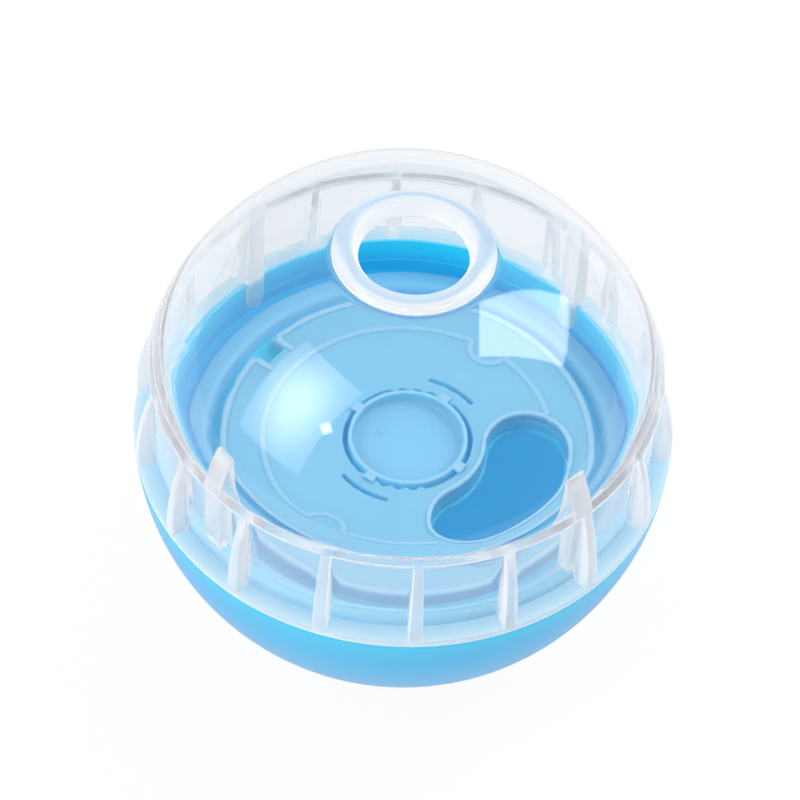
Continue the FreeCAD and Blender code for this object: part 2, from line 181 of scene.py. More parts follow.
def addLoft(bm, sections):
    # closed sections of as many points each, capped at both ends
    rows = [[bm.verts.new(point) for point in section] for section in sections]
    count = len(rows[0])
    for below, above in zip(rows, rows[1:]):
        for j in range(count):
            n = (j + 1) % count
            bm.faces.new((below[j], below[n], above[n], above[j]))
    bm.faces.new(list(reversed(rows[0])))
    bm.faces.new(rows[-1])


def addArcBlock(bm, inner, outer, bottom, top, start, end, rise=0.0, edge=0.2, steps=24):
    # block along an arc, in degrees, with rounded corners, which may climb from its start to its end
    outline = roundCorners([(inner, bottom), (outer, bottom, edge), (outer, top, edge), (inner, top)])
    sections = []
    for k in range(steps + 1):
        share = k / steps
        a = math.radians(start + (end - start) * share)
        sections.append([(r * math.cos(a), r * math.sin(a), z + rise * share) for r, z in outline])
    addLoft(bm, sections)


def addBead(bm, path, width, bottom, top, closed=False, flat=0.35, steps=8, leastEnd=0.02):
    # rounded bead of the given width along a path of (x, y); open ends are rounded off
    half = width / 2
    shape = [(-half, bottom)]
    for k in range(steps + 1):
        a = math.pi * (1 - k / steps)
        x = math.cos(a)
        across = math.copysign(abs(x) ** (1 - flat), x) * half
        shape.append((across, bottom + (top - bottom) * math.sin(a) ** (1 - flat)))
    shape.append((half, bottom))
    count = len(path)
    rows = []
    lengths = [0.0]
    for a, b in zip(path, path[1:]):
        lengths.append(lengths[-1] + math.dist(a, b))
    for k, (x, y) in enumerate(path):
        before = path[k - 1] if k or closed else path[0]
        after = path[(k + 1) % count] if k < count - 1 or closed else path[-1]
        way = Vector((after[0] - before[0], after[1] - before[1])).normalized()
        side = Vector((way.y, -way.x))
        fromEnd = half if closed else min(lengths[k], lengths[-1] - lengths[k])
        scale = math.sqrt(max(leastEnd, 1 - (1 - min(1.0, fromEnd / half)) ** 2))
        rows.append([bm.verts.new((x + side.x * s * scale, y + side.y * s * scale,
                                   bottom + (z - bottom) * (scale if z > bottom else 1))) for s, z in shape])
    pairs = list(zip(rows, rows[1:])) + ([(rows[-1], rows[0])] if closed else [])
    for here, there in pairs:
        for j in range(len(shape) - 1):
            bm.faces.new((here[j], there[j], there[j + 1], here[j + 1]))
        bm.faces.new((here[-1], there[-1], there[0], here[0]))
    if not closed:
        bm.faces.new(rows[0])
        bm.faces.new(list(reversed(rows[-1])))


def addSlab(bm, outlines, bottom, top, edge=0.2, rounding=2):
    # flat plate: the first outline is its rim, the others are holes, all upright edges rounded over
    curve = bpy.data.curves.new("slab", "CURVE")
    curve.dimensions = "2D"
    curve.fill_mode = "BOTH"
    curve.extrude = (top - bottom) / 2 - edge
    curve.bevel_depth = edge
    curve.bevel_resolution = rounding
    curve.offset = -edge
    for outline in outlines:
        spline = curve.splines.new("POLY")
        spline.points.add(len(outline) - 1)
        spline.points.foreach_set("co", [c for x, y in outline for c in (x, y, 0.0, 1.0)])
        spline.use_cyclic_u = True
    holder = bpy.data.objects.new("slab", curve)
    bpy.context.scene.collection.objects.link(holder)
    bpy.context.view_layer.update()
    mesh = bpy.data.meshes.new_from_object(holder)
    mesh.transform(Matrix.Translation((0, 0, (top + bottom) / 2)))
    bm.from_mesh(mesh)
    bpy.data.objects.remove(holder)
    bpy.data.curves.remove(curve)
    bpy.data.meshes.remove(mesh)


def arcPath(radius, start, end, centre=(0.0, 0.0), step=2.0):
    # points along an arc in degrees, both ends included
    count = max(2, int(abs(end - start) / step))
    angles = [math.radians(start + (end - start) * k / count) for k in range(count + 1)]
    return [(centre[0] + radius * math.cos(a), centre[1] + radius * math.sin(a)) for a in angles]


def bentSlotOutline(radius, half, start, end, step=2.0, endStep=9):
    # slot along an arc about the axis, with round ends
    first = (radius * math.cos(math.radians(start)), radius * math.sin(math.radians(start)))
    last = (radius * math.cos(math.radians(end)), radius * math.sin(math.radians(end)))
    out = arcPath(radius + half, start, end, step=step)
    out += arcPath(half, end, end + 180, last, endStep)[1:]
    out += arcPath(radius - half, end, start, step=step)[1:]
    out += arcPath(half, start + 180, start + 360, first, endStep)[1:-1]
    return out


# node helpers: an input takes another node's output or a plain value
def addNode(tree, kind, options=None, inputs=None):
    node = tree.nodes.new(kind)
    for key, value in (options or {}).items():
        setattr(node, key, value)
    for key, value in (inputs or {}).items():
        if isinstance(value, bpy.types.NodeSocket):
            tree.links.new(value, node.inputs[key])
        else:
            node.inputs[key].default_value = value
    return node


def addMath(tree, operation, *values):
    return addNode(tree, "ShaderNodeMath", {"operation": operation}, dict(enumerate(values))).outputs[0]


def distanceTo(tree, place, spot):
    away = addNode(tree, "ShaderNodeVectorMath", {"operation": "DISTANCE"}, {0: place, 1: spot})
    return away.outputs["Value"]


def mapValue(tree, value, fromMin, fromMax, toMin=0.0, toMax=1.0, blend="LINEAR"):
    mapped = addNode(tree, "ShaderNodeMapRange", {"interpolation_type": blend}, {
        "Value": value, "From Min": fromMin, "From Max": fromMax, "To Min": toMin, "To Max": toMax})
    return mapped.outputs["Result"]


def mixColours(tree, share, first, second):
    mixed = addNode(tree, "ShaderNodeMix", {"data_type": "RGBA"}, {"Factor": share, "A": first, "B": second})
    return mixed.outputs["Result"]


def mixShaders(tree, share, first, second):
    return addNode(tree, "ShaderNodeMixShader", inputs={0: share, 1: first, 2: second}).outputs["Shader"]


def startGroup(name, inputs, outputs):
    # node group of plain numbers: inputs with their usual values, outputs by name
    tree = bpy.data.node_groups.new(name, "ShaderNodeTree")
    for key, value in inputs.items():
        tree.interface.new_socket(name=key, in_out="INPUT", socket_type="NodeSocketFloat").default_value = value
    for key in outputs:
        tree.interface.new_socket(name=key, in_out="OUTPUT", socket_type="NodeSocketFloat")
    return tree, tree.nodes.new("NodeGroupInput").outputs, tree.nodes.new("NodeGroupOutput").inputs


# materials
moulding = {
    "stretch": (1.0, 1.0, 2.6), "streakDetail": 3.0, "streakDistortion": 0.6, "streakMean": 0.5,
    "pitDetail": 2.0, "pitHeight": 0.25,
}


def makeMouldGroup():
    # flow streaks and fine pitting of moulded plastic: a mask for the colour, a roughness and a height
    tree, ins, outs = startGroup(
        "mouldedSurface", {"Roughness": 0.3, "Roughness Spread": 0.08, "Streak Scale": 30.0, "Pit Scale": 900.0},
        ("Cloud", "Roughness", "Height"))
    place = addNode(tree, "ShaderNodeTexCoord").outputs["Object"]
    stretch = addNode(tree, "ShaderNodeMapping", inputs={"Vector": place, "Scale": moulding["stretch"]})
    cloud = addNode(tree, "ShaderNodeTexNoise", inputs={
        "Vector": stretch.outputs["Vector"], "Scale": ins["Streak Scale"],
        "Detail": moulding["streakDetail"], "Distortion": moulding["streakDistortion"]}).outputs["Fac"]
    pits = addNode(tree, "ShaderNodeTexNoise", inputs={
        "Vector": place, "Scale": ins["Pit Scale"], "Detail": moulding["pitDetail"]}).outputs["Fac"]
    centred = addMath(tree, "SUBTRACT", cloud, moulding["streakMean"])
    rough = addMath(tree, "MULTIPLY_ADD", centred, ins["Roughness Spread"], ins["Roughness"])
    height = addMath(tree, "MULTIPLY_ADD", pits, moulding["pitHeight"], cloud)
    tree.links.new(cloud, outs["Cloud"])
    tree.links.new(rough, outs["Roughness"])
    tree.links.new(height, outs["Height"])
    return tree


# where the painted shade and the painted highlight begin and are full, in millimetres within the wall, under the
# shelf and above the crest
shadeAndHighlightFade = {"wallStart": 0.4, "wallFull": 1.0, "shelfStart": 0.3, "shelfFull": 1.2, "crestFull": 0.4}


def makeShadeAndHighlightGroup():
    # Depth, the mask for painted shade, grows from 0 at the upper height to 1 at the lower one, in metres above the
    # rest flat, and reaches Inside on the inner face of the ball's wall under the shelf; Crest, the mask for a
    # painted highlight, marks what stands above its height
    tree, ins, outs = startGroup(
        "paintedShadeAndHighlight", {"Upper": 0.05, "Lower": 0.04, "Inside": 0.0, "Crest": 1.0}, ("Depth", "Crest"))
    place = addNode(tree, "ShaderNodeTexCoord").outputs["Object"]
    height = addNode(tree, "ShaderNodeSeparateXYZ", inputs={"Vector": place}).outputs["Z"]
    low = mapValue(tree, height, ins["Upper"], ins["Lower"], blend="SMOOTHSTEP")
    radius = ball["radius"]
    shelf = ballCentre + ball["seam"]
    within = mapValue(tree, distanceTo(tree, place, (0.0, 0.0, ballCentre * mm)),
                      (radius - shadeAndHighlightFade["wallStart"]) * mm, (radius - shadeAndHighlightFade["wallFull"]) * mm)
    under = mapValue(tree, height, (shelf - shadeAndHighlightFade["shelfStart"]) * mm, (shelf - shadeAndHighlightFade["shelfFull"]) * mm)
    inside = addMath(tree, "MULTIPLY", addMath(tree, "MULTIPLY", within, under), ins["Inside"])
    tree.links.new(addMath(tree, "MAXIMUM", low, inside), outs["Depth"])
    rise = addMath(tree, "SUBTRACT", height, ins["Crest"])
    tree.links.new(mapValue(tree, rise, 0.0, shadeAndHighlightFade["crestFull"] * mm), outs["Crest"])
    return tree


mouldGroup = makeMouldGroup()
shadeAndHighlightGroup = makeShadeAndHighlightGroup()

bluePlastic = {
    "roughness": 0.34, "roughnessSpread": 0.1, "streakScale": 28.0, "pitScale": 900.0,
    "bumpStrength": 0.12, "bumpDistance": 0.0004,
    "deepColour": (0.1, 0.78, 0.86, 1), "paleColour": (0.15, 0.81, 0.89, 1),
    # the inner face of the bowl under the shelf takes the painted shade colour; a crest at 1 m puts no painted
    # highlight on it
    "paintedShadeColour": (0.0, 0.54, 1.0, 1), "upper": 0.0, "lower": -0.01, "inside": 1.0,
    "crest": 1.0, "paintedHighlightColour": (0.6, 0.88, 0.96, 1),
    "glowColour": (0.02, 0.82, 1.0, 1), "glowShare": 0.55,
    "sheen": 0.1, "sheenRoughness": 0.4, "coat": 0.8, "coatRoughness": 0.1,
}
# the neck is the bowl's plastic painted a more saturated blue as painted shade under the dome, with a painted
# highlight along its top edge above the crest height
shadedNeckPlastic = dict(bluePlastic)
shadedNeckPlastic.update({
    "deepColour": (0.06, 0.79, 1.0, 1), "paleColour": (0.09, 0.82, 1.0, 1), "inside": 0.0, "crest": 0.055,
    "glowColour": (0.03, 0.82, 1.0, 1), "coat": 0.0,
})
platePlastic = {
    "roughness": 0.36, "roughnessSpread": 0.1, "streakScale": 40.0, "pitScale": 1100.0,
    "bumpStrength": 0.15, "bumpDistance": 0.0003,
    "deepColour": (0.31, 0.76, 0.91, 1), "paleColour": (0.38, 0.8, 0.93, 1),
    # from 46.2 mm down to 44.9 mm above the rest flat the groove floor and all below it take the painted shade
    # colour; above 47.8 mm the tops of the beads and the lip get the painted highlight
    "paintedShadeColour": (0.06, 0.88, 1.0, 1), "upper": 0.0462, "lower": 0.0449, "inside": 0.0,
    "crest": 0.0478, "paintedHighlightColour": (0.6, 0.86, 0.96, 1),
    "glowColour": (0.04, 0.78, 1.0, 1), "glowShare": 0.48,
    "sheen": 0.1, "sheenRoughness": 0.4, "coat": 0.0, "coatRoughness": 0.1,
}
dialPlastic = dict(platePlastic)
# the shutter under the plate lies wholly below these heights and takes the painted shade colour; the cup's rim above
# the crest gets the painted highlight
dialPlastic.update({"upper": 0.0444, "lower": 0.0434, "crest": 0.0481})
clearPlastic = {
    "roughness": 0.3, "roughnessSpread": 0.08, "streakScale": 22.0, "pitScale": 700.0,
    "bumpStrength": 0.05, "bumpDistance": 0.0002,
    "deepColour": (0.93, 0.915, 0.93, 1), "paleColour": (0.97, 0.945, 0.955, 1),
    "veil": 0.005, "edgeVeil": 0.42, "edgeBlend": 0.5, "edgePower": 2.6, "thickVeil": 0.58, "scattered": 0.5,
    "passed": (0.995, 0.998, 1.0, 1), "refraction": 1.5, "gloss": 0.03, "lampShare": (0.92, 0.92, 0.92, 1),
}


def startMaterial(name, settings):
    # Principled plastic with the moulded surface, not yet wired to the output's final mix
    material = bpy.data.materials.new(name)
    material.use_nodes = True
    tree = material.node_tree
    shader = tree.nodes["Principled BSDF"]
    mould = addNode(tree, "ShaderNodeGroup", {"node_tree": mouldGroup}, {
        "Roughness": settings["roughness"], "Roughness Spread": settings["roughnessSpread"],
        "Streak Scale": settings["streakScale"], "Pit Scale": settings["pitScale"]}).outputs
    bump = addNode(tree, "ShaderNodeBump", inputs={
        "Strength": settings["bumpStrength"], "Distance": settings["bumpDistance"], "Height": mould["Height"]})
    tint = mixColours(tree, mould["Cloud"], settings["deepColour"], settings["paleColour"])
    tree.links.new(mould["Roughness"], shader.inputs["Roughness"])
    tree.links.new(bump.outputs["Normal"], shader.inputs["Normal"])
    tree.links.new(tint, shader.inputs["Base Color"])
    return material, tree, shader


def makeBlue(name, settings):
    # plastic that lets some light through, with painted shade (a deeper colour) below and on the inner face, and a
    # painted highlight (a paler colour) along raised edges
    material, tree, shader = startMaterial(name, settings)
    depth = addNode(tree, "ShaderNodeGroup", {"node_tree": shadeAndHighlightGroup}, {
        "Upper": settings["upper"], "Lower": settings["lower"],
        "Inside": settings["inside"], "Crest": settings["crest"]}).outputs
    tint = shader.inputs["Base Color"].links[0].from_socket
    # painted shade: a deeper, more saturated colour in low places and on the bowl's inner face
    shadedTint = mixColours(tree, depth["Depth"], tint, settings["paintedShadeColour"])
    # painted highlight: a paler colour on the tops of raised edges
    highlightedTint = mixColours(tree, depth["Crest"], shadedTint, settings["paintedHighlightColour"])
    tree.links.new(highlightedTint, shader.inputs["Base Color"])
    shader.inputs["Coat Weight"].default_value = settings["coat"]
    shader.inputs["Coat Roughness"].default_value = settings["coatRoughness"]
    shader.inputs["Sheen Weight"].default_value = settings["sheen"]
    shader.inputs["Sheen Roughness"].default_value = settings["sheenRoughness"]
    through = addNode(tree, "ShaderNodeBsdfTranslucent", inputs={"Color": settings["glowColour"]})
    both = mixShaders(tree, settings["glowShare"], shader.outputs["BSDF"], through.outputs["BSDF"])
    tree.links.new(both, tree.nodes["Material Output"].inputs["Surface"])
    return material


def makeClear(name, settings):
    # refracting plastic with a scattering share that grows where it is thick
    material, tree, shader = startMaterial(name, settings)
    shader.inputs["Specular IOR Level"].default_value = 0.0
    facing = addNode(tree, "ShaderNodeLayerWeight", inputs={"Blend": settings["edgeBlend"]}).outputs["Facing"]
    steep = addMath(tree, "POWER", facing, settings["edgePower"])  # milkier where the wall is seen along its length
    veil = mapValue(tree, steep, 0.0, 1.0, settings["veil"], settings["edgeVeil"])
    thick = addNode(tree, "ShaderNodeAttribute", {"attribute_name": "thick"}).outputs["Fac"]
    milk = addMath(tree, "MULTIPLY_ADD", thick, settings["thickVeil"], veil)
    milk.node.use_clamp = True
    behind = addNode(tree, "ShaderNodeBsdfTranslucent", inputs={"Color": settings["paleColour"]})
    cloudy = mixShaders(tree, settings["scattered"], shader.outputs["BSDF"], behind.outputs["BSDF"])
    glass = addNode(tree, "ShaderNodeBsdfGlass", inputs={
        "Color": settings["passed"], "Roughness": settings["gloss"], "IOR": settings["refraction"],
        "Normal": shader.inputs["Normal"].links[0].from_socket})
    body = mixShaders(tree, milk, glass.outputs["BSDF"], cloudy)
    clear = addNode(tree, "ShaderNodeBsdfTransparent", inputs={"Color": settings["lampShare"]})
    rays = addNode(tree, "ShaderNodeLightPath").outputs
    lampRays = addMath(tree, "MAXIMUM", rays["Is Shadow Ray"], rays["Is Diffuse Ray"])
    surface = mixShaders(tree, lampRays, body, clear.outputs["BSDF"])  # lamps light what lies under the dome
    tree.links.new(surface, tree.nodes["Material Output"].inputs["Surface"])
    return material


blueMaterial = makeBlue("bluePlastic", bluePlastic)
neckMaterial = makeBlue("shadedNeckPlastic", shadedNeckPlastic)
plateMaterial = makeBlue("platePlastic", platePlastic)
dialMaterial = makeBlue("dialPlastic", dialPlastic)
clearMaterial = makeClear("clearPlastic", clearPlastic)
print("materials made")


# bowl and its neck
bowl = {
    "wall": 1.4, "neckInner": 47.7, "neckOuter": 48.9, "neckTop": 1.0, "leadIn": 0.7, "shelf": 1.6,
    "ledgeInner": 44.2, "ledgeTop": -8.35, "ledgeBottom": -9.65,
    "rampCount": 4, "rampStart": 20.0, "rampSpan": 50.0, "rampReach": 49.5, "rampBottom": -1.75,
    "rampThickness": 0.9, "rampRise": 0.8, "rampRoot": 0.2, "stepHeight": -5.2, "stepReach": 0.2, "stepSlope": 0.1,
    "leadInSlope": 1.6, "sphereSteps": 72, "softEdge": 0.3, "topEdge": 0.25,
}


def makeBowl():
    seam = ball["seam"]
    radius = ball["radius"]
    inner = radius - bowl["wall"]
    innerFlat = onCircle(inner, ballCentre - bowl["wall"])
    shelfLow = seam - bowl["shelf"]
    neckIn, neckOut, neckTop = bowl["neckInner"], bowl["neckOuter"], bowl["neckTop"]
    soft, topEdge = bowl["softEdge"], bowl["topEdge"]
    outer = spherePoints(radius, ball["restFlat"], onCircle(radius, seam), -1, bowl["sphereSteps"])
    inside = spherePoints(inner, onCircle(inner, shelfLow), innerFlat, -1, bowl["sphereSteps"])
    outline = [(0.0, -ballCentre)] + outer[:-1]
    outline += roundCorners([
        outer[-2], (outer[-1][0], seam, topEdge), (neckOut, seam, 0.1), (neckOut, shelfLow, soft),
        (inside[0][0], shelfLow, 0.5), inside[1],
    ])[1:-1]
    outline += inside[1:] + [(0.0, -ballCentre + bowl["wall"])]
    bm = bmesh.new()
    addLathe(bm, outline)
    shell = finishMesh("bowlShell", bm, blueMaterial, "bowl")
    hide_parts("bowl")

    step, reach = bowl["stepHeight"], bowl["stepReach"]
    bm = bmesh.new()
    addLathe(bm, roundCorners([
        (neckOut, neckTop - bowl["leadIn"] * bowl["leadInSlope"], 0.4), (neckOut - bowl["leadIn"], neckTop, 0.2),
        (neckIn, neckTop, topEdge), (neckIn, step + reach * 2), (neckIn - reach, step + reach),
        (neckIn - reach, step), (neckIn, step - bowl["stepSlope"]), (neckIn, bowl["ledgeTop"], topEdge),
        (bowl["ledgeInner"], bowl["ledgeTop"], soft), (bowl["ledgeInner"], bowl["ledgeBottom"], soft),
        (neckOut, bowl["ledgeBottom"], soft),
    ]))
    for k in range(bowl["rampCount"]):
        start = bowl["rampStart"] + 360.0 / bowl["rampCount"] * k
        addArcBlock(bm, neckOut - bowl["rampRoot"], bowl["rampReach"], bowl["rampBottom"],
                    bowl["rampBottom"] + bowl["rampThickness"], start, start + bowl["rampSpan"], bowl["rampRise"])
    neck = finishMesh("bowlNeck", bm, neckMaterial, "bowl")
    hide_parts("bowl_neck")


makeBowl()


# divider plate
plate = {
    "top": -6.6, "wall": 1.5, "radius": 46.0, "plateau": 38.8, "grooveDepth": 2.8, "grooveWidth": 3.2,
    "grooveFloor": 1.2, "flangeDrop": 0.3, "flangeWall": 1.3, "beadWidth": 1.6, "rimBead": 0.5, "innerBead": 0.4,
    "innerBeadRadius": 30.0, "beadStart": 15.5, "beadEnd": 285.5, "detours": (58.0, 238.0), "detourRadius": 4.05,
    "notchAngle": 145.5, "notchWidth": 5.5, "notchDepth": 3.9, "notchBead": 5.6,
    "kidneyRadius": 24.75, "kidneyHalf": 8.5, "kidneyStart": -55.0, "kidneyEnd": -1.0, "lipRise": 0.6,
    "lipWidth": 1.1, "chuteWall": 1.2, "chuteDepth": 4.3, "hubHole": 13.4, "toothRise": 0.6, "toothSpan": 6.5,
    "toothWide": 0.75, "toothBlunt": 0.6, "click": 13.5, "clickStart": 50.25, "teeth": 5, "slotRadius": 16.5,
    "slotWidth": 1.0, "slots": ((40.0, 76.0), (221.0, 257.0)),
    "edge": 0.18, "overlap": 0.3, "grooveStart": 0.25, "grooveLean": 0.43, "beadLead": 0.4, "pathStep": 1.5,
    "skinDrop": 0.1, "lipOverlap": 0.02, "chuteEdge": 0.15, "notchRims": (0.5, 0.6), "rimInset": 0.01,
}


def hubOutline(steps=720):
    # round hole whose edge swells inwards into click teeth on two sides
    out = []
    for k in range(steps):
        angle = 360 * k / steps
        swell = 0.0
        for side in (0.0, 180.0):
            for tooth in range(plate["teeth"]):
                middle = plate["clickStart"] + side + plate["click"] * tooth
                away = abs((angle - middle + 180) % 360 - 180) / (plate["toothSpan"] * plate["toothWide"])
                if away < 1:
                    swell = max(swell, (0.5 + 0.5 * math.cos(math.pi * away)) ** plate["toothBlunt"])
        r = plate["hubHole"] - plate["toothRise"] * swell
        out.append((r * math.cos(math.radians(angle)), r * math.sin(math.radians(angle))))
    return out


def atNotch(along, across):
    # point given by its distance out along the notch's middle line and across it
    a = math.radians(plate["notchAngle"])
    return (along * math.cos(a) - across * math.sin(a), along * math.sin(a) + across * math.cos(a))


def plateauOutline(radius, grow):
    # the plateau's rim, which steps in at the notch
    half = plate["notchWidth"] / 2 + grow
    depth = plate["plateau"] - plate["notchDepth"] - grow
    swing = math.degrees(math.asin(half / radius))
    around = arcPath(radius, plate["notchAngle"] + swing, plate["notchAngle"] + 360 - swing, step=plate["pathStep"])
    mouth, end = plate["notchRims"]
    corners = [around[0] + (mouth,)] + around[1:-1] + [around[-1] + (mouth,)]
    corners += [atNotch(depth, -half) + (end,), atNotch(depth, half) + (end,)]
    return roundCorners(corners)


def rimBeadPath():
    # from one side of the notch, round the plateau, to its other side
    bead = plate["beadWidth"] / 2
    radius = plate["plateau"] - bead
    half = plate["notchWidth"] / 2 + bead
    inner = plate["plateau"] - plate["notchBead"]
    swing = math.degrees(math.asin(half / radius))
    around = arcPath(radius, plate["notchAngle"] + swing, plate["notchAngle"] + 360 - swing, step=plate["pathStep"])
    lead = [inner + (radius - inner) * k / 8 - plate["beadLead"] for k in range(8)]
    return [atNotch(r, half) for r in lead] + around[1:-1] + [atNotch(r, -half) for r in reversed(lead)]


def innerBeadPath():
    # round the plateau at one radius, bending inwards round the two plain spots
    radius = plate["innerBeadRadius"]
    detour = plate["detourRadius"]
    swing = math.degrees(2 * math.asin(detour / (2 * radius)))
    path = []
    start = plate["beadStart"]
    for angle in plate["detours"]:
        path += arcPath(radius, start, angle - swing, step=plate["pathStep"])
        spot = (radius * math.cos(math.radians(angle)), radius * math.sin(math.radians(angle)))
        lean = swing / 2
        path += arcPath(detour, angle - 90 - lean, angle - 270 + lean, spot, step=8)[1:-1]
        start = angle + swing
    return path + arcPath(radius, start, plate["beadEnd"], step=plate["pathStep"])


def kidneyOutline(grow):
    return bentSlotOutline(plate["kidneyRadius"], plate["kidneyHalf"] + grow, plate["kidneyStart"],
                           plate["kidneyEnd"])


def makePlate():
    top = plate["top"]
    plateau = plate["plateau"]
    overlap = plate["overlap"]
    wall = plate["wall"]
    skin = top - plate["skinDrop"]
    shift = (ball["plateShift"], 0.0)
    bm = bmesh.new()
    slots = [bentSlotOutline(plate["slotRadius"], plate["slotWidth"] / 2, a, b) for a, b in plate["slots"]]
    addSlab(bm, [plateauOutline(plateau, 0.0), hubOutline(), kidneyOutline(0.0)] + slots, top - wall, top,
            plate["edge"])
    deck = finishMesh("plateDeck", bm, plateMaterial, "plate", centre=shift)
    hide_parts("divider_plate")

    flangeTop = top - plate["flangeDrop"]
    flangeLow = flangeTop - plate["flangeWall"]
    floor = top - plate["grooveDepth"]
    low = floor - plate["flangeWall"]
    outside = plateau + plate["grooveWidth"]
    floorEnd = plateau + plate["grooveStart"] + plate["grooveFloor"]
    lean = plate["grooveLean"]
    half = plate["notchWidth"] / 2 + wall
    notchEnd = plateau - plate["notchDepth"] - wall
    bm = bmesh.new()
    addLathe(bm, roundCorners([
        (plateau - overlap, floor), (floorEnd, floor, 1.2), (outside, flangeTop, 2.2),
        (plate["radius"], flangeTop, 0.35), (plate["radius"], flangeLow, 0.25), (outside + lean, flangeLow, 0.6),
        (floorEnd + lean, low, 0.6), (plateau - overlap, low),
    ], 6))
    inset = plate["rimInset"]
    addSlab(bm, [plateauOutline(plateau - inset, inset), plateauOutline(plateau - wall, wall)], low, skin, edge=0.1)
    addSlab(bm, [[atNotch(notchEnd, -half), atNotch(plateau - overlap, -half), atNotch(plateau - overlap, half),
                  atNotch(notchEnd, half)]], low, floor, edge=0.02)  # floor of the notch
    finishMesh("plateRim", bm, plateMaterial, "plate", centre=shift)

    bm = bmesh.new()
    lip = kidneyOutline(plate["lipWidth"] / 2 - plate["lipOverlap"])
    addBead(bm, rimBeadPath(), plate["beadWidth"], top - overlap, top + plate["rimBead"])
    addBead(bm, innerBeadPath(), plate["beadWidth"], top - overlap, top + plate["innerBead"])
    addBead(bm, lip, plate["lipWidth"], top - overlap, top + plate["lipRise"], closed=True)
    finishMesh("plateBeads", bm, plateMaterial, "plate", centre=shift, crease=60)

    bm = bmesh.new()
    addSlab(bm, [kidneyOutline(plate["chuteWall"]), kidneyOutline(0.0)], top - plate["chuteDepth"], skin,
            plate["chuteEdge"])
    finishMesh("plateChute", bm, plateMaterial, "plate", centre=shift)


makePlate()


# dial
dial = {
    "radius": 36.2, "top": -11.1, "bottom": -12.6, "margin": 0.4, "cupOuter": 12.4, "cupWall": 1.0,
    "cupTop": -5.9, "cupFloor": -8.5, "floorWall": 1.4, "cupEdge": 0.35, "cupRise": 0.2, "edge": 0.18,
    "lugCount": 4, "lugStart": 57.0, "lugWidth": 2.6, "lugReach": 14.0, "lugGap": 0.15, "lugRoot": 0.4,
    "lugDrop": 0.02, "lugEdge": 0.3,
    "marks": ((7.7, -5.5, 1), (-5.5, 2.8, -1), (5.5, 6.0, 0)),  # x, y and the way a mark points, 0 for a round one
    "markSize": 1.3, "markRise": 0.15, "markRoot": 0.3, "markEdge": 0.06, "markCorner": 0.3,
    "markFoot": 0.7, "markDot": 0.8, "markTaper": 0.9,  # shares of a mark's size
}


def makeDial():
    shift = (ball["plateShift"], 0.0)
    inner = dial["cupOuter"] - dial["cupWall"]
    foot = dial["bottom"] + dial["cupRise"]
    bm = bmesh.new()
    addSlab(bm, [arcPath(dial["radius"], 0, 358, step=2), arcPath(inner, 0, 356, step=4),
                 kidneyOutline(-dial["margin"])], dial["bottom"], dial["top"], dial["edge"])
    disc = finishMesh("dialShutter", bm, dialMaterial, "dial", centre=shift)
    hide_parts("flow_dial")

    bm = bmesh.new()
    floor = dial["cupFloor"]
    floorLow = floor - dial["floorWall"]
    edge = dial["cupEdge"]
    addLathe(bm, [(0.0, floorLow), (0.0, floor)] + roundCorners([
        (1.0, floor), (inner, floor, 1.0), (inner, dial["cupTop"], edge), (dial["cupOuter"], dial["cupTop"], edge),
        (dial["cupOuter"], foot), (inner, foot), (inner, floorLow),
    ], 6), 160)
    spread = math.degrees(dial["lugWidth"] / 2 / dial["lugReach"])
    for k in range(dial["lugCount"]):
        middle = dial["lugStart"] + 360.0 / dial["lugCount"] * k
        addArcBlock(bm, dial["cupOuter"] - dial["lugRoot"], dial["lugReach"], plate["top"] + dial["lugGap"],
                    dial["cupTop"] - dial["lugDrop"], middle - spread, middle + spread, edge=dial["lugEdge"], steps=6)
    size, corner, taper = dial["markSize"], dial["markCorner"], dial["markTaper"]
    low = floor - dial["markRoot"]
    high = floor + dial["markRise"]
    for x, y, way in dial["marks"]:
        if way:
            base = y - way * size * dial["markFoot"]
            shape = roundCorners([(x - size, base, corner), (x + size, base, corner), (x, y + way * size, corner)])
        else:
            shape = arcPath(size * dial["markDot"], 0, 345, (x, y), 15)
        addLoft(bm, [[(px, py, low) for px, py in shape],
                     [(px, py, high - dial["markEdge"]) for px, py in shape],
                     [(x + (px - x) * taper, y + (py - y) * taper, high) for px, py in shape]])
    finishMesh("dialCup", bm, dialMaterial, "dial", centre=shift)


makeDial()


